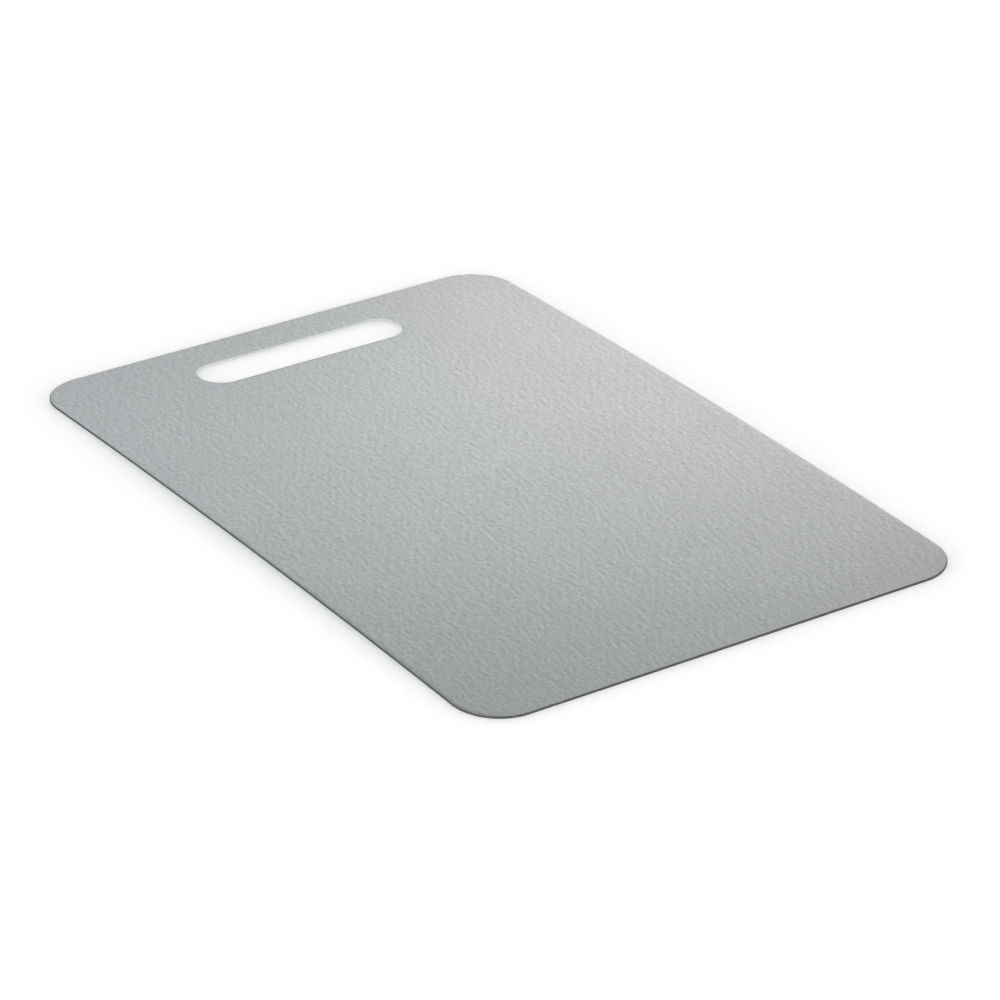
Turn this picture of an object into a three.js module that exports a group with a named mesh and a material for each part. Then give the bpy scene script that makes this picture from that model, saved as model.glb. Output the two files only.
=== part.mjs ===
// A stainless steel cutting board: one blank of thin sheet with rounded corners and a hand slot.
// The sheet lies on the ends of its slight lengthwise crown.
// Millimetres. +X runs across the board, +Y along it towards the hand slot, +Z is up.
// The origin is under the middle of the sheet, on the surface that the board lies on.

import * as THREE from 'three';
import { mergeVertices } from 'three/addons/utils/BufferGeometryUtils.js';

// Driving dimensions of the blank
const BOARD_LENGTH = 330;
const BOARD_WIDTH = 220;
const SHEET_THICKNESS = 1.0;
const CORNER_RADIUS = 20;

// Hand slot, with half-round ends, and the strip of steel between it and the end of the board
const SLOT_LENGTH = 96;
const SLOT_WIDTH = 21;
const GRIP_STRIP = 19;

// Height of the sheet's middle over its two ends, and the radius that breaks every edge
const CROWN_RISE = 2.6;
const EDGE_RADIUS = 0.3;

// Steps in each arc of the outline, in each broken edge and along the crown
const ARC_STEPS = 16;
const EDGE_STEPS = 2;
const CROWN_STEPS = 15;

// Vertices closer than this are one vertex
const MERGE_DISTANCE = 1e-3;

const steel = new THREE.MeshStandardMaterial({ color: 0xbcbfbf, metalness: 1.0, roughness: 0.5 });

// The edge is never rounder than its wall allows.
const edgeRound = Math.min(EDGE_RADIUS, SHEET_THICKNESS / 3);

// A slot with half-round ends, centred on the length of the board.
function slotOutline() {
  const endRadius = SLOT_WIDTH / 2;
  const endCentre = SLOT_LENGTH / 2 - endRadius;
  const middle = BOARD_LENGTH / 2 - GRIP_STRIP - endRadius;
  const slot = new THREE.Path();
  slot.absarc(endCentre, middle, endRadius, -Math.PI / 2, Math.PI / 2, false);
  slot.absarc(-endCentre, middle, endRadius, Math.PI / 2, Math.PI * 1.5, false);
  slot.closePath();
  return slot;
}

// A rectangle with four round corners, pierced by the hand slot.
function blankOutline() {
  const cornerX = BOARD_WIDTH / 2 - CORNER_RADIUS;
  const cornerY = BOARD_LENGTH / 2 - CORNER_RADIUS;
  const outline = new THREE.Shape();
  outline.absarc(cornerX, -cornerY, CORNER_RADIUS, -Math.PI / 2, 0, false);
  outline.absarc(cornerX, cornerY, CORNER_RADIUS, 0, Math.PI / 2, false);
  outline.absarc(-cornerX, cornerY, CORNER_RADIUS, Math.PI / 2, Math.PI, false);
  outline.absarc(-cornerX, -cornerY, CORNER_RADIUS, Math.PI, Math.PI * 1.5, false);
  outline.closePath();
  outline.holes.push(slotOutline());
  return outline;
}

// The flat blank, with a quarter-round along every edge of the outline and of the slot.
function flatBlank() {
  return new THREE.ExtrudeGeometry(blankOutline(), {
    depth: SHEET_THICKNESS - 2 * edgeRound,
    curveSegments: ARC_STEPS,
    bevelEnabled: true,
    bevelThickness: edgeRound,
    bevelSize: edgeRound,
    bevelOffset: -edgeRound,
    bevelSegments: EDGE_STEPS,
  });
}

// The point where an edge crosses a line across the board, the same from whichever end it is worked out.
function crossing(start, end, line) {
  const [low, high] = start.y < end.y ? [start, end] : [end, start];
  const point = low.clone().lerp(high, (line - low.y) / (high.y - low.y));
  return point.setY(line);
}

// The part of a polygon on one side of a line across the board: side 1 keeps the +Y side, -1 the other.
function keepSide(polygon, line, side) {
  const beyond = (point) => {
    const distance = side * (point.y - line);
    return Math.abs(distance) < MERGE_DISTANCE ? 0 : distance;
  };
  const kept = [];
  polygon.forEach((start, index) => {
    const end = polygon[(index + 1) % polygon.length];
    if (beyond(start) >= 0) {
      kept.push(start);
    }
    if (beyond(start) * beyond(end) < 0) {
      kept.push(crossing(start, end, line));
    }
  });
  return kept;
}

// Cuts each triangle of the blank where a bend line of the crown crosses it.
function cutAtBendLines(blank) {
  const pitch = BOARD_LENGTH / CROWN_STEPS;
  const corners = blank.getAttribute('position');
  const points = [];
  for (let first = 0; first < corners.count; first += 3) {
    const triangle = [0, 1, 2].map((offset) => new THREE.Vector3().fromBufferAttribute(corners, first + offset));
    for (let strip = 0; strip < CROWN_STEPS; strip += 1) {
      const low = -BOARD_LENGTH / 2 + strip * pitch;
      const piece = keepSide(keepSide(triangle, low, 1), low + pitch, -1);
      for (let fan = 2; fan < piece.length; fan += 1) {
        points.push(piece[0], piece[fan - 1], piece[fan]);
      }
    }
  }
  return points;
}

// Height of the crown: a parabola along the length, level across the width, nothing at both ends.
function crownHeight(y) {
  const share = y / (BOARD_LENGTH / 2);
  return CROWN_RISE * (1 - share * share);
}

// The blank bent to its crown and laid on the ground plane.
function crownedSheet() {
  const flat = cutAtBendLines(flatBlank());
  const bent = flat.map((point) => new THREE.Vector3(point.x, point.y, point.z + crownHeight(point.y)));
  const sheet = mergeVertices(new THREE.BufferGeometry().setFromPoints(bent), MERGE_DISTANCE);
  sheet.computeBoundingBox();
  sheet.translate(0, 0, -sheet.boundingBox.min.z);
  sheet.computeVertexNormals();
  return sheet;
}

const boardSheet = new THREE.Mesh(crownedSheet(), steel);
boardSheet.name = 'board_sheet';

const cuttingBoard = new THREE.Group();
cuttingBoard.name = 'cutting_board';
cuttingBoard.add(boardSheet);

export default cuttingBoard;
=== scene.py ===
"""A stainless steel cutting board: one crowned sheet with round corners and a hand slot,
pressed with a fine grain along its length."""

import math

import bpy
import numpy as np
from mathutils import Matrix, Vector


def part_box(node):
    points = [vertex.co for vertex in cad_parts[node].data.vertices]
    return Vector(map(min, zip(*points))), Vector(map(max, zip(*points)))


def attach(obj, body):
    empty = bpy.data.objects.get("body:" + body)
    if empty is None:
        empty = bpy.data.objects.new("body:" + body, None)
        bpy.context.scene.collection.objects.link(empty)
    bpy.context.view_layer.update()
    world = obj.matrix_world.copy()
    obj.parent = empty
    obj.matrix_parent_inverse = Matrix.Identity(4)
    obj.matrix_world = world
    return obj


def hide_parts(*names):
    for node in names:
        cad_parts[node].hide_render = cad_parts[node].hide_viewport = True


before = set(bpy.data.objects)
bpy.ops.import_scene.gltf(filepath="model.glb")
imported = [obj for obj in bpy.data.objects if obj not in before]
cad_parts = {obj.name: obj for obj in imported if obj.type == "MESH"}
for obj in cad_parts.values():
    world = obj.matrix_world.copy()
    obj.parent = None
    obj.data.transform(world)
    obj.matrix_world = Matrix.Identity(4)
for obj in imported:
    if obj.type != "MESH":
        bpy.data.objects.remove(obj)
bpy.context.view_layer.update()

MM = 0.001

# The sheet: its outside comes from the frame, and these are the sizes that a box doesn't give
SHEET_LOW, SHEET_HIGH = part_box("board_sheet")
BOARD_WIDTH = SHEET_HIGH.x - SHEET_LOW.x
BOARD_LENGTH = SHEET_HIGH.y - SHEET_LOW.y
SHEET_THICKNESS = 1.0 * MM
CROWN_RISE = 2.6 * MM
CORNER_RADIUS = 20 * MM
EDGE_RADIUS = 0.3 * MM
SLOT_LENGTH = 96 * MM
SLOT_WIDTH = 21 * MM
GRIP_STRIP = 19 * MM

# Places that follow from those sizes
CORNER_X = BOARD_WIDTH / 2 - CORNER_RADIUS
CORNER_Y = BOARD_LENGTH / 2 - CORNER_RADIUS
SLOT_Y = BOARD_LENGTH / 2 - GRIP_STRIP - SLOT_WIDTH / 2
SLOT_STRAIGHT = (SLOT_LENGTH - SLOT_WIDTH) / 2

# The pressed grain, short soft ridges along the board, and the roll of the face at the long sides
GRAIN_PITCH = 3.0 * MM
GRAIN_REACH_ACROSS = 1.25 * MM
GRAIN_REACH_ALONG = 0.86 * MM
GRAIN_TURN = math.radians(-8)
GRAIN_DEPTH = 0.014 * MM
GRAIN_WAVES = 320
GRAIN_SEED = 11
GRAIN_MARGIN = 0.5 * MM
ROLL_DEPTH = 0.12 * MM
ROLL_WIDTH = 2.4 * MM

# Fineness of the mesh
FACE_ACROSS = 0.80 * MM
FACE_ALONG = 1.09 * MM
FACE_CORNER_STEPS = 20
FACE_SLOT_STEPS = 22
BACK_PITCH = 9 * MM
BACK_CORNER_STEPS = 6
BACK_SLOT_STEPS = 8
BACK_MARGIN = 2 * MM
EDGE_STEPS = 3

# The order of the finishes in the board's list of materials
FACE_FINISH = 0
OUTSIDE_FINISH = 1
SLOT_FINISH = 2

# The finish of the steel: colours are linear, and specks and clouds are counted per metre
SPECK_STRETCH = 1.5
SPECK_DETAIL = 1.5
CLOUD_DETAIL = 3
MIDDLE_SPAN = (0.3, 0.7)
FACE_SPECKS = 960
FACE_CLOUDS = 28
# The face's tone follows the grain: painted highlight on its crests and painted shade in its hollows, mixed
# with random specks
CREST_MIDDLE = 0.5
CREST_SHADE_SPREAD = 0.1
SPECK_SHARE = 0.42
FACE_DARK = (0.468, 0.501, 0.517)
FACE_LIGHT = (0.683, 0.731, 0.754)
FACE_ROUGHNESS = (0.41, 0.43)
FACE_BUMP = 0.06 * MM
EDGE_SPECKS = 5200
EDGE_CLOUDS = 400
EDGE_BUMP = 0.02 * MM
TEAR_WANDER = 0.2
# The outside cut edge is painted dark: painted shade for the shadowed floor its walls mirror, darker still
# in the lower band
OUTSIDE_SHEARED_SHADE = (0.165, 0.17, 0.174)
OUTSIDE_TORN_SHADE = (0.086, 0.088, 0.09)
OUTSIDE_ROUGHNESS = (0.5, 0.62)
# The slot's cut edge is polished, and its colour is paler than the steel: painted light for the white floor
# it shows
SLOT_SHEARED_LIGHT = (0.78, 0.80, 0.81)
SLOT_TORN_LIGHT = (0.74, 0.76, 0.77)
SLOT_ROUGHNESS = (0.26, 0.34)

# The floor: sizes in metres, how far light bleeds in it, and its glow near the board and far from it
FLOOR_SIZE = 40
FLOOR_COLOUR = (0.9, 0.9, 0.9)
FLOOR_BLEED = 0.025
BLEED_PER_COLOUR = (1, 1, 1)
FLOOR_GLOW = (0.3, 0.95)
GLOW_REACH = (0.2, 1.6)

# The soft boxes, in degrees and metres: azimuth turns from the handle end towards the right side
KEY_BOX = {
    "azimuth": 29.8,
    "elevation": 27.5,
    "distance": 0.74,
    "size": (0.77, 0.22),
    "brightness": 1.32,
    "colour": (1, 0.98, 0.97),
}
LOW_BOX = {
    "azimuth": 50,
    "elevation": 13.5,
    "distance": 1.21,
    "size": (0.86, 0.52),
    "brightness": 0.79,
    "colour": (1, 0.88, 0.78),
}
FILL_BOX = {"elevation": 24, "distance": 1.3, "size": (1.5, 0.95), "brightness": 0.74}
FILL_AZIMUTHS = {"back_box": -50, "left_box": -112, "front_box": 180, "right_box": 108}
TOP_BOX = {"azimuth": 214, "elevation": 77, "distance": 1.5, "size": (2.2, 2.0), "brightness": 1.1}
WHITE = (1, 1, 1)
ROOM_BRIGHTNESS = 0.07

# The camera, as the photograph was taken: a long lens from the front left
CAMERA_AZIMUTH = math.radians(-33.85)
CAMERA_ELEVATION = math.radians(27.08)
CAMERA_DISTANCE = 1786.2 * MM
CAMERA_AIM_RIGHT = 6.69 * MM
CAMERA_AIM_BELOW = 9.95 * MM
CAMERA_LENS = 164.41
CAMERA_SENSOR = 36


def crown_height(y):
    """Height of the sheet's underside at y: a parabola, highest in the middle and nothing at both ends."""
    return CROWN_RISE * (1 - (2 * y / BOARD_LENGTH) ** 2)


def even_steps(start, end, pitch):
    """Values from start to end in equal steps, as near to the pitch as they fit."""
    return np.linspace(start, end, max(1, round((end - start) / pitch)) + 1)


def side_reach(y, inset):
    """Half the face's width at y: the straight side, then the corner's circle."""
    radius = CORNER_RADIUS - inset
    into_corner = np.clip(np.abs(y) - CORNER_Y, 0, radius)
    return CORNER_X + np.sqrt(radius**2 - into_corner**2)


def slot_reach(y, inset):
    """Half the slot's length at y: its straight part, plus its round end's circle where y is beside it."""
    round_end = (SLOT_WIDTH / 2 + inset) ** 2 - (y - SLOT_Y) ** 2
    return SLOT_STRAIGHT + np.sqrt(np.clip(round_end, 0, None))


def outside_distance(x, y):
    """Distance in plan from a point of the sheet to its outside edge: sides, ends and corners' circles."""
    over_x = np.abs(x) - CORNER_X
    over_y = np.abs(y) - CORNER_Y
    past_corner = np.hypot(np.maximum(over_x, 0), np.maximum(over_y, 0))
    return CORNER_RADIUS - past_corner - np.minimum(np.maximum(over_x, over_y), 0)


def slot_distance(x, y):
    """Distance in plan from a point of the sheet to the slot's edge: the distance to the slot's middle
    line, less half its width."""
    return np.hypot(np.maximum(np.abs(x) - SLOT_STRAIGHT, 0), y - SLOT_Y) - SLOT_WIDTH / 2


def face_rows(inset, pitch, corner_steps, slot_steps):
    """The y of each row of a face, front to back, and the numbers of the two rows that touch the slot.
    Rows lie at even angles round the corners and the slot's ends, and at even distances between."""
    corner = CORNER_RADIUS - inset
    slot = SLOT_WIDTH / 2 + inset
    quarter = np.linspace(0, math.pi / 2, corner_steps + 1)
    front = -CORNER_Y - corner * np.cos(quarter)
    middle = even_steps(-CORNER_Y, SLOT_Y - slot, pitch)
    beside_slot = SLOT_Y - slot * np.cos(np.linspace(0, math.pi, slot_steps + 1))
    first_turn = math.asin((beside_slot[-1] - CORNER_Y) / corner)
    back = CORNER_Y + corner * np.sin(np.linspace(first_turn, math.pi / 2, corner_steps + 1))
    near_wall = len(front) + len(middle) - 2
    rows = np.concatenate([front, middle[1:], beside_slot[1:], back[1:]])
    return rows, near_wall, near_wall + slot_steps


def rim_of(numbers):
    """The border of a block of point numbers, anticlockwise seen from above."""
    front, right = numbers[0, :-1], numbers[:-1, -1]
    back, left = numbers[-1, :0:-1], numbers[:0:-1, 0]
    return np.concatenate([front, right, back, left])


def sheet_face(inset, across, along, corner_steps, slot_steps):
    """One face of the sheet in plan, as a grid with a hole: rows run across the board. Between the slot's
    ends a row's points are shares of its straight part, and beyond them shares of the way from the slot's
    end to the side. Gives the points, the quads facing up, and the outer and slot rims."""
    y, near_wall, far_wall = face_rows(inset, along, corner_steps, slot_steps)
    inner = even_steps(-1, 1, across / SLOT_STRAIGHT)
    outer = 1 + even_steps(0, 1, across / (BOARD_WIDTH / 2 - SLOT_STRAIGHT))[1:]
    share = np.concatenate([-outer[::-1], inner, outer])
    reach = slot_reach(y, inset)[:, None]
    side = side_reach(y, inset)[:, None]
    size = np.abs(share)
    beyond = reach + (size - 1) * (side - reach)
    x = np.sign(share) * np.where(size < 1, size * SLOT_STRAIGHT, beyond)
    left_end = len(outer)
    right_end = left_end + len(inner) - 1

    there = np.ones(x.shape, bool)
    there[near_wall + 1 : far_wall, left_end + 1 : right_end] = False
    numbers = np.cumsum(there).reshape(x.shape) - 1
    cells = np.ones((len(y) - 1, len(share) - 1), bool)
    cells[near_wall:far_wall, left_end:right_end] = False
    turns = [numbers[:-1, :-1], numbers[:-1, 1:], numbers[1:, 1:], numbers[1:, :-1]]
    quads = np.stack(turns, -1)[cells]
    points = np.stack([x, np.broadcast_to(y[:, None], x.shape)], -1)[there]
    slot_rim = rim_of(numbers[near_wall : far_wall + 1, left_end : right_end + 1])
    return points, quads, rim_of(numbers), slot_rim


def pressed_grain(x, y):
    """Height of the pressed grain, with a spread of one: a sum of plane waves of equal height. Across the
    board their lengths lie round the pitch, along it they are longer, and the reach is where neighbours
    fall out of step. The whole pattern is turned a little from the board's length."""
    draw = np.random.default_rng(GRAIN_SEED)
    across = draw.normal(2 * math.pi / GRAIN_PITCH, 1 / GRAIN_REACH_ACROSS, GRAIN_WAVES)
    along = draw.normal(0, 1 / GRAIN_REACH_ALONG, GRAIN_WAVES)
    wave_x = across * math.cos(GRAIN_TURN) - along * math.sin(GRAIN_TURN)
    wave_y = -across * math.sin(GRAIN_TURN) - along * math.cos(GRAIN_TURN)
    start = draw.uniform(0, 2 * math.pi, GRAIN_WAVES)
    height = np.zeros(x.shape)
    for kx, ky, phase in zip(wave_x, wave_y, start):
        height += np.cos(kx * x + ky * y + phase)
    return height * math.sqrt(2 / GRAIN_WAVES)


def side_roll(x, y):
    """How far the face is rolled down: deepest at the edge of the long sides, less by the square of the
    way in, and fading out round the corners as they turn to the ends."""
    into_corner = np.clip((np.abs(y) - CORNER_Y) / CORNER_RADIUS, 0, 1)
    way_in = np.clip(outside_distance(x, y) / ROLL_WIDTH, 0, 1)
    return ROLL_DEPTH * (1 - into_corner**2) * (1 - way_in) ** 2


def upper_face(x, y):
    """Height of the upper face, and its grain alone: the crown and the sheet's thickness, the grain fading
    out at the edges, and the roll at the long sides."""
    margin = np.minimum(outside_distance(x, y), slot_distance(x, y)) - EDGE_RADIUS
    grain = pressed_grain(x, y) * (1 - np.exp(-((margin / GRAIN_MARGIN) ** 2)))
    return crown_height(y) + SHEET_THICKNESS + GRAIN_DEPTH * grain - side_roll(x, y), grain


def cut_edge_profile():
    """A cut edge from the upper face to the back: a quarter round, the straight cut and another quarter
    round. The columns are the outward offset, the height above the back and the share of the roll."""
    turn = np.linspace(0, math.pi / 2, EDGE_STEPS + 1)
    offset = EDGE_RADIUS * np.sin(turn)
    drop = EDGE_RADIUS * (1 - np.cos(turn))
    upper = np.column_stack([offset, SHEET_THICKNESS - drop, np.ones(len(turn))])
    lower = np.column_stack([offset, drop, np.zeros(len(turn))])[::-1]
    return np.vstack([upper[1:], lower])


def outward_of_board(points):
    """Unit directions in plan out of the board's outline: away from the nearest point of the rectangle
    that joins the centres of the corners."""
    core = np.clip(points, (-CORNER_X, -CORNER_Y), (CORNER_X, CORNER_Y))
    away = points - core
    return away / np.linalg.norm(away, axis=1, keepdims=True)


def outward_of_slot(points):
    """Unit directions in plan from the slot's rim into the slot: towards the nearest point of its middle
    line."""
    line_x = np.clip(points[:, 0], -SLOT_STRAIGHT, SLOT_STRAIGHT)
    towards = np.column_stack([line_x, np.full(len(points), SLOT_Y)]) - points
    return towards / np.linalg.norm(towards, axis=1, keepdims=True)


def edge_rings(rim_points, outward, profile):
    """The cut edge round a rim: for each step of the profile, the rim moved outward and set at that height
    over the crown, less its share of the roll. The points come ring by ring."""
    plan = rim_points[None, :, :] + outward[None, :, :] * profile[:, None, :1]
    roll = side_roll(rim_points[:, 0], rim_points[:, 1])
    height = crown_height(plan[..., 1]) + profile[:, 1:2] - profile[:, 2:] * roll
    return np.concatenate([plan, height[..., None]], -1).reshape(-1, 3)


def ring_quads(rings):
    """Quads between each ring of point numbers and the next, facing away from a rim that runs
    anticlockwise."""
    ahead = np.roll(rings, -1, axis=1)
    return np.stack([rings[:-1], rings[1:], ahead[1:], ahead[:-1]], -1).reshape(-1, 4)


def way_round(points):
    """Each point's share of the way round its closed loop, from 0 to 1."""
    steps = np.linalg.norm(np.roll(points, -1, axis=0) - points, axis=1)
    return (np.cumsum(steps) - steps) / steps.sum()


def stitched(fine, coarse, points):
    """Triangles between a fine loop of point numbers and a coarse one beside it: each step of the fine loop
    meets the nearest coarse point by its share of the way round, and each step of the coarse loop meets the
    fine point where that changes."""
    fine_share = way_round(points[fine])
    coarse_share = way_round(points[coarse])
    fine_middle = (fine_share + np.append(fine_share[1:], 1)) / 2
    coarse_middle = (coarse_share + np.append(coarse_share[1:], 1)) / 2
    nearest = np.searchsorted(coarse_middle, fine_middle) % len(coarse)
    before = np.roll(nearest, 1)
    change = nearest != before
    steps = np.column_stack([fine, np.roll(fine, -1), coarse[nearest]])
    fans = np.column_stack([fine[change], coarse[nearest[change]], coarse[before[change]]])
    return np.vstack([steps, fans])


def board_surface():
    """The whole sheet as one closed surface: the grained face, the cut edges outside and in the slot, and
    the plain back, with its lowest point at zero. Gives its points, its quads and triangles, the number of
    each one's finish, and two values for each point: how far down the cut edge it lies, and how high on the
    grain, about one half."""
    plan, face_quads, rim, slot_rim = sheet_face(
        EDGE_RADIUS, FACE_ACROSS, FACE_ALONG, FACE_CORNER_STEPS, FACE_SLOT_STEPS)
    back_plan, back_quads, back_rim, back_slot = sheet_face(
        EDGE_RADIUS + BACK_MARGIN, BACK_PITCH, BACK_PITCH, BACK_CORNER_STEPS, BACK_SLOT_STEPS)
    height, grain = upper_face(plan[:, 0], plan[:, 1])
    profile = cut_edge_profile()
    face = np.column_stack([plan, height])
    outside = edge_rings(plan[rim], outward_of_board(plan[rim]), profile)
    slot = edge_rings(plan[slot_rim], outward_of_slot(plan[slot_rim]), profile)
    back = np.column_stack([back_plan, crown_height(back_plan[:, 1])])
    points = np.vstack([face, outside, slot, back])

    first_outside = len(face)
    first_slot = first_outside + len(outside)
    first_back = first_slot + len(slot)
    outside_rings = np.vstack([rim, first_outside + np.arange(len(outside)).reshape(len(profile), -1)])
    slot_rings = np.vstack([slot_rim, first_slot + np.arange(len(slot)).reshape(len(profile), -1)])
    outside_quads = ring_quads(outside_rings)
    slot_quads = ring_quads(slot_rings)[:, ::-1]
    quads = np.vstack([face_quads, outside_quads, slot_quads, first_back + back_quads[:, ::-1]])
    margin = stitched(outside_rings[-1], first_back + back_rim, points)
    slot_margin = stitched(slot_rings[-1], first_back + back_slot, points)
    triangles = np.vstack([margin[:, ::-1], slot_margin])

    counts = [len(face_quads), len(outside_quads), len(slot_quads), len(back_quads) + len(triangles)]
    finish = np.repeat([FACE_FINISH, OUTSIDE_FINISH, SLOT_FINISH, FACE_FINISH], counts)
    step_depth = 1 - profile[:, 1] / SHEET_THICKNESS
    edge_depth = np.repeat(step_depth, len(rim))
    slot_depth = np.repeat(step_depth, len(slot_rim))
    depth = np.concatenate([np.zeros(len(face)), edge_depth, slot_depth, np.ones(len(back))])
    # How high on the grain each face point lies, which the face's colour turns into painted shade and
    # highlight
    crest_shade = np.full(len(points), CREST_MIDDLE)
    crest_shade[: len(face)] += CREST_SHADE_SPREAD * grain
    points[:, 2] -= points[:, 2].min()
    return points, quads, triangles, finish, {"edge_depth": depth, "crest_shade": crest_shade}


def put_into_mesh(name, points, quads, triangles):
    """A mesh object at the origin with these points and faces, shaded smooth."""
    mesh = bpy.data.meshes.new(name)
    corners = np.concatenate([quads.ravel(), triangles.ravel()]).astype(np.int32)
    sizes = np.concatenate([np.full(len(quads), 4), np.full(len(triangles), 3)]).astype(np.int32)
    mesh.vertices.add(len(points))
    mesh.vertices.foreach_set("co", points.astype(np.float32).ravel())
    mesh.loops.add(len(corners))
    mesh.loops.foreach_set("vertex_index", corners)
    mesh.polygons.add(len(sizes))
    mesh.polygons.foreach_set("loop_start", (np.cumsum(sizes) - sizes).astype(np.int32))
    mesh.polygons.foreach_set("use_smooth", np.ones(len(sizes), bool))
    mesh.update(calc_edges=True)
    mesh.validate()
    piece = bpy.data.objects.new(name, mesh)
    bpy.context.scene.collection.objects.link(piece)
    return piece


def fine_grain_group():
    """Node group: the texture that the rolls leave in the steel, drawn out along the board. Grains per
    Metre counts its specks across the board. It puts out the specks' height, and slow clouds, both about
    one half."""
    group = bpy.data.node_groups.new("fine_grain", "ShaderNodeTree")
    group.interface.new_socket("Vector", in_out="INPUT", socket_type="NodeSocketVector")
    group.interface.new_socket("Grains per Metre", in_out="INPUT", socket_type="NodeSocketFloat")
    group.interface.new_socket("Clouds per Metre", in_out="INPUT", socket_type="NodeSocketFloat")
    group.interface.new_socket("Height", in_out="OUTPUT", socket_type="NodeSocketFloat")
    group.interface.new_socket("Clouds", in_out="OUTPUT", socket_type="NodeSocketFloat")
    nodes, links = group.nodes, group.links
    given = nodes.new("NodeGroupInput")
    result = nodes.new("NodeGroupOutput")
    drawn_out = nodes.new("ShaderNodeMapping")
    drawn_out.inputs["Scale"].default_value = (1, 1 / SPECK_STRETCH, 1)
    specks = nodes.new("ShaderNodeTexNoise")
    specks.inputs["Detail"].default_value = SPECK_DETAIL
    clouds = nodes.new("ShaderNodeTexNoise")
    clouds.inputs["Detail"].default_value = CLOUD_DETAIL
    links.new(given.outputs["Vector"], drawn_out.inputs["Vector"])
    links.new(drawn_out.outputs["Vector"], specks.inputs["Vector"])
    links.new(given.outputs["Vector"], clouds.inputs["Vector"])
    links.new(given.outputs["Grains per Metre"], specks.inputs["Scale"])
    links.new(given.outputs["Clouds per Metre"], clouds.inputs["Scale"])
    links.new(specks.outputs["Fac"], result.inputs["Height"])
    links.new(clouds.outputs["Fac"], result.inputs["Clouds"])
    return group


def mapped(nodes, links, value, low, high, span=MIDDLE_SPAN):
    """A Map Range node that spreads a span of a value over low to high. Without another span it takes the
    middle one, where noise and the crests mostly lie."""
    spread = nodes.new("ShaderNodeMapRange")
    spread.inputs["From Min"].default_value = span[0]
    spread.inputs["From Max"].default_value = span[1]
    spread.inputs["To Min"].default_value = low
    spread.inputs["To Max"].default_value = high
    links.new(value, spread.inputs["Value"])
    return spread.outputs["Result"]


def blended(nodes, links, share, first, second):
    """A Mix node that goes from the first colour to the second."""
    mix = nodes.new("ShaderNodeMix")
    mix.data_type = "RGBA"
    mix.inputs["A"].default_value = (*first, 1)
    mix.inputs["B"].default_value = (*second, 1)
    links.new(share, mix.inputs["Factor"])
    return mix.outputs["Result"]


def combined(nodes, links, operation, first, second):
    """A Math node that makes one value of two."""
    result = nodes.new("ShaderNodeMath")
    result.operation = operation
    links.new(first, result.inputs[0])
    links.new(second, result.inputs[1])
    return result.outputs["Value"]


def point_value(nodes, name):
    """A value that the board's mesh keeps for each point."""
    value = nodes.new("ShaderNodeAttribute")
    value.attribute_name = name
    return value.outputs["Fac"]


def bare_steel(name, fine_grain, specks, clouds):
    """A metal that still lacks its tones, with the fine grain at its own scale. Gives the material, its
    nodes and links, its shader and the grain."""
    material = bpy.data.materials.new(name)
    material.use_nodes = True
    nodes, links = material.node_tree.nodes, material.node_tree.links
    shader = nodes["Principled BSDF"]
    shader.inputs["Metallic"].default_value = 1
    place = nodes.new("ShaderNodeTexCoord")
    grain = nodes.new("ShaderNodeGroup")
    grain.node_tree = fine_grain
    grain.inputs["Grains per Metre"].default_value = specks
    grain.inputs["Clouds per Metre"].default_value = clouds
    links.new(place.outputs["Object"], grain.inputs["Vector"])
    return material, nodes, links, shader, grain


def dress_shader(nodes, links, shader, colour, roughness, height, bump_height):
    """Gives a shader its colour, its roughness and its bumps. The bump height is what a height of one
    stands for."""
    bump = nodes.new("ShaderNodeBump")
    bump.inputs["Distance"].default_value = bump_height
    links.new(height, bump.inputs["Height"])
    links.new(bump.outputs["Normal"], shader.inputs["Normal"])
    links.new(colour, shader.inputs["Base Color"])
    links.new(roughness, shader.inputs["Roughness"])


def pressed_steel(fine_grain):
    """The faces: matt rolled steel, cool and nearly neutral, with painted shade and highlight on the grain,
    paler on its crests and darker in its hollows, with fine specks in the tone and slow clouds in the
    gloss."""
    material, nodes, links, shader, grain = bare_steel(
        "pressed_steel", fine_grain, FACE_SPECKS, FACE_CLOUDS)
    tone = nodes.new("ShaderNodeMix")
    tone.inputs["Factor"].default_value = SPECK_SHARE
    links.new(mapped(nodes, links, point_value(nodes, "crest_shade"), 0, 1), tone.inputs["A"])
    links.new(mapped(nodes, links, grain.outputs["Height"], 0, 1), tone.inputs["B"])
    colour = blended(nodes, links, tone.outputs["Result"], FACE_DARK, FACE_LIGHT)
    roughness = mapped(nodes, links, grain.outputs["Clouds"], *FACE_ROUGHNESS)
    dress_shader(nodes, links, shader, colour, roughness, grain.outputs["Height"], FACE_BUMP)
    return material


def cut_steel(name, fine_grain, sheared, torn, roughness_range):
    """A cut edge: the smooth band that the die sheared, above the ragged one where the steel tore. Its two
    colours
    are painted: dark with painted shade on the outside edge, pale with painted light in the slot.
    """
    material, nodes, links, shader, grain = bare_steel(name, fine_grain, EDGE_SPECKS, EDGE_CLOUDS)
    wander = mapped(nodes, links, grain.outputs["Clouds"], -TEAR_WANDER, TEAR_WANDER)
    ragged = combined(nodes, links, "ADD", point_value(nodes, "edge_depth"), wander)
    tear = mapped(nodes, links, ragged, 0, 1)
    colour = blended(nodes, links, tear, sheared, torn)
    roughness = mapped(nodes, links, ragged, *roughness_range)
    torn_height = combined(nodes, links, "MULTIPLY", grain.outputs["Height"], tear)
    dress_shader(nodes, links, shader, colour, roughness, torn_height, EDGE_BUMP)
    return material


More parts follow.
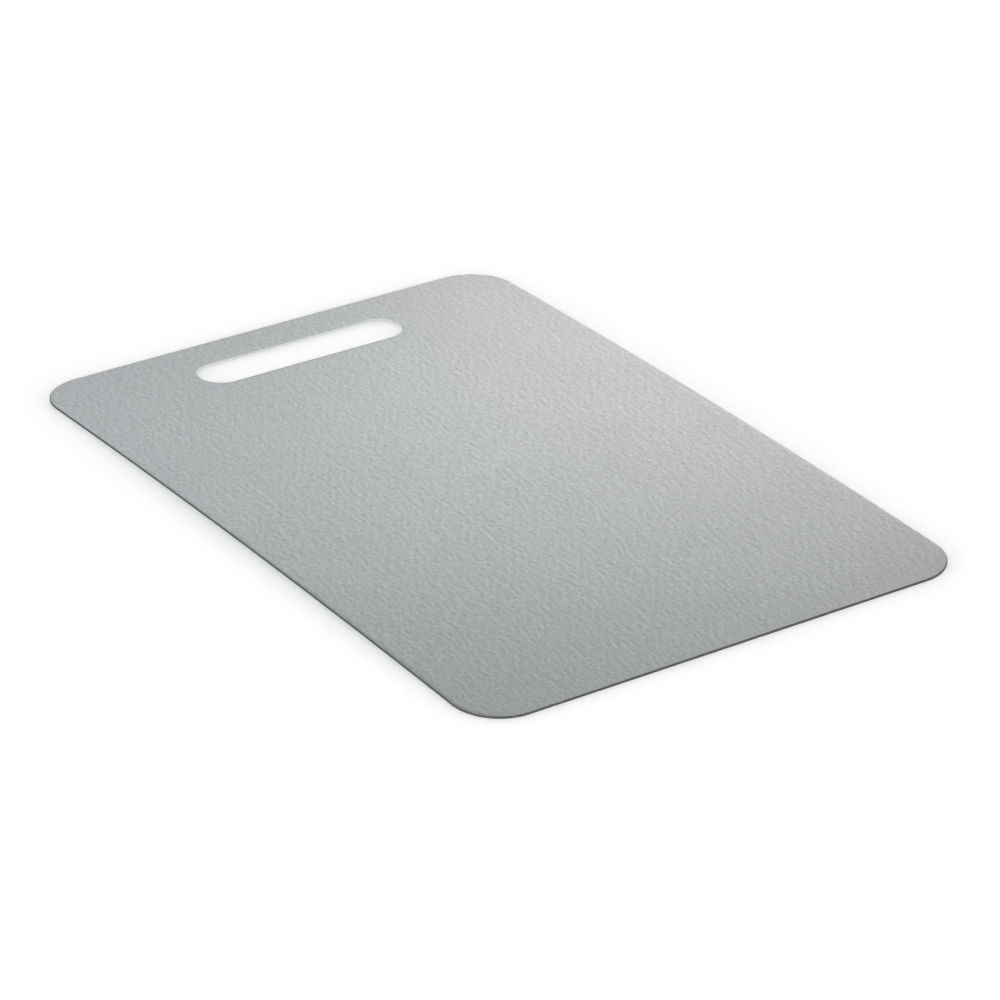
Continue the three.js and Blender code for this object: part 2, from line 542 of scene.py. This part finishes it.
def make_board():
    """The board's sheet, in place of the solid."""
    points, quads, triangles, finish, values = board_surface()
    board = put_into_mesh("steel_board", points, quads, triangles)
    fine_grain = fine_grain_group()
    finishes = [
        pressed_steel(fine_grain),
        # The outside edge's dark colours are painted shade
        cut_steel("cut_steel", fine_grain, OUTSIDE_SHEARED_SHADE, OUTSIDE_TORN_SHADE, OUTSIDE_ROUGHNESS),
        # The slot edge's pale colours are painted light
        cut_steel("slot_steel_painted_light", fine_grain, SLOT_SHEARED_LIGHT, SLOT_TORN_LIGHT, SLOT_ROUGHNESS),
    ]
    for material in finishes:
        board.data.materials.append(material)
    board.data.polygons.foreach_set("material_index", finish.astype(np.int32))
    for name, value in values.items():
        kept = board.data.attributes.new(name, "FLOAT", "POINT")
        kept.data.foreach_set("value", value.astype(np.float32))
    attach(board, "root")
    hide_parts("board_sheet")


def opal_white():
    """The floor's finish: white opal, in which light bleeds a little under the board's shadow and softens
    it, with a glow that only the camera, reflections and clear things see, so that it shows as white. The
    glow grows away from the board, where the boxes' light falls off."""
    material = bpy.data.materials.new("floor_white")
    material.use_nodes = True
    nodes, links = material.node_tree.nodes, material.node_tree.links
    nodes.clear()
    out = nodes.new("ShaderNodeOutputMaterial")
    opal = nodes.new("ShaderNodeSubsurfaceScattering")
    opal.falloff = "BURLEY"
    opal.inputs["Color"].default_value = (*FLOOR_COLOUR, 1)
    opal.inputs["Radius"].default_value = BLEED_PER_COLOUR
    opal.inputs["Scale"].default_value = FLOOR_BLEED
    path = nodes.new("ShaderNodeLightPath")
    seen = combined(nodes, links, "MAXIMUM", path.outputs["Is Camera Ray"], path.outputs["Is Glossy Ray"])
    shown = combined(nodes, links, "MAXIMUM", seen, path.outputs["Is Transmission Ray"])
    place = nodes.new("ShaderNodeTexCoord")
    away = nodes.new("ShaderNodeVectorMath")
    away.operation = "LENGTH"
    links.new(place.outputs["Object"], away.inputs[0])
    rise = mapped(nodes, links, away.outputs["Value"], *FLOOR_GLOW, span=GLOW_REACH)
    glow = nodes.new("ShaderNodeEmission")
    links.new(combined(nodes, links, "MULTIPLY", shown, rise), glow.inputs["Strength"])
    both = nodes.new("ShaderNodeAddShader")
    links.new(opal.outputs["BSSRDF"], both.inputs[0])
    links.new(glow.outputs["Emission"], both.inputs[1])
    links.new(both.outputs["Shader"], out.inputs["Surface"])
    return material


def white_floor():
    """The pale floor: one level square at the height of the board's foot, far larger than the view."""
    half = FLOOR_SIZE / 2
    corners = [(-half, -half, 0), (half, -half, 0), (half, half, 0), (-half, half, 0)]
    mesh = bpy.data.meshes.new("floor")
    mesh.from_pydata(corners, [], [(0, 1, 2, 3)])
    mesh.materials.append(opal_white())
    floor = bpy.data.objects.new("floor", mesh)
    bpy.context.scene.collection.objects.link(floor)


def soft_box(name, azimuth, elevation, distance, size, brightness, colour=WHITE):
    """A soft box that faces the point under the board's middle from its own direction and distance.
    Brightness is how bright a mirror shows it, where 1 is white."""
    turn = math.radians(azimuth)
    tilt = math.radians(elevation)
    level = Vector((math.sin(turn), math.cos(turn), 0))
    towards = level * math.cos(tilt) + Vector((0, 0, math.sin(tilt)))
    width, height = size
    lamp = bpy.data.lights.new(name, "AREA")
    lamp.shape = "RECTANGLE"
    lamp.size = width
    lamp.size_y = height
    lamp.energy = brightness * math.pi * width * height
    lamp.color = colour
    box = bpy.data.objects.new(name, lamp)
    box.location = towards * distance
    box.rotation_euler = towards.to_track_quat("Z", "Y").to_euler()
    box.visible_camera = False
    bpy.context.scene.collection.objects.link(box)


def studio_light():
    """Two soft boxes behind on the right that the face mirrors in the photograph, four fill boxes round
    the sides, a large box above, and a dim white room."""
    soft_box("key_box", **KEY_BOX)
    soft_box("low_box", **LOW_BOX)
    for name, azimuth in FILL_AZIMUTHS.items():
        soft_box(name, azimuth, **FILL_BOX)
    soft_box("top_box", **TOP_BOX)
    world = bpy.data.worlds.new("room")
    world.use_nodes = True
    room = world.node_tree.nodes["Background"]
    room.inputs["Color"].default_value = (*WHITE, 1)
    room.inputs["Strength"].default_value = ROOM_BRIGHTNESS
    bpy.context.scene.world = world


def photo_camera():
    """The camera at the photograph's viewing angle: turned round the board, raised, and aimed a little off
    its middle."""
    right = Vector((math.cos(CAMERA_AZIMUTH), math.sin(CAMERA_AZIMUTH), 0))
    level_back = Vector((math.sin(CAMERA_AZIMUTH), -math.cos(CAMERA_AZIMUTH), 0))
    back = level_back * math.cos(CAMERA_ELEVATION) + Vector((0, 0, 1)) * math.sin(CAMERA_ELEVATION)
    up = back.cross(right)
    aim = Vector((0, 0, SHEET_THICKNESS)) + right * CAMERA_AIM_RIGHT - up * CAMERA_AIM_BELOW
    lens = bpy.data.cameras.new("photo_camera")
    lens.sensor_width = CAMERA_SENSOR
    lens.lens = CAMERA_LENS
    lens.clip_end = FLOOR_SIZE
    camera = bpy.data.objects.new("photo_camera", lens)
    turn = Matrix((right, up, back)).transposed().to_4x4()
    camera.matrix_world = Matrix.Translation(aim + back * CAMERA_DISTANCE) @ turn
    bpy.context.scene.collection.objects.link(camera)
    bpy.context.scene.camera = camera


photo_camera()
make_board()
white_floor()
studio_light()
bpy.context.scene.view_settings.view_transform = "Standard"
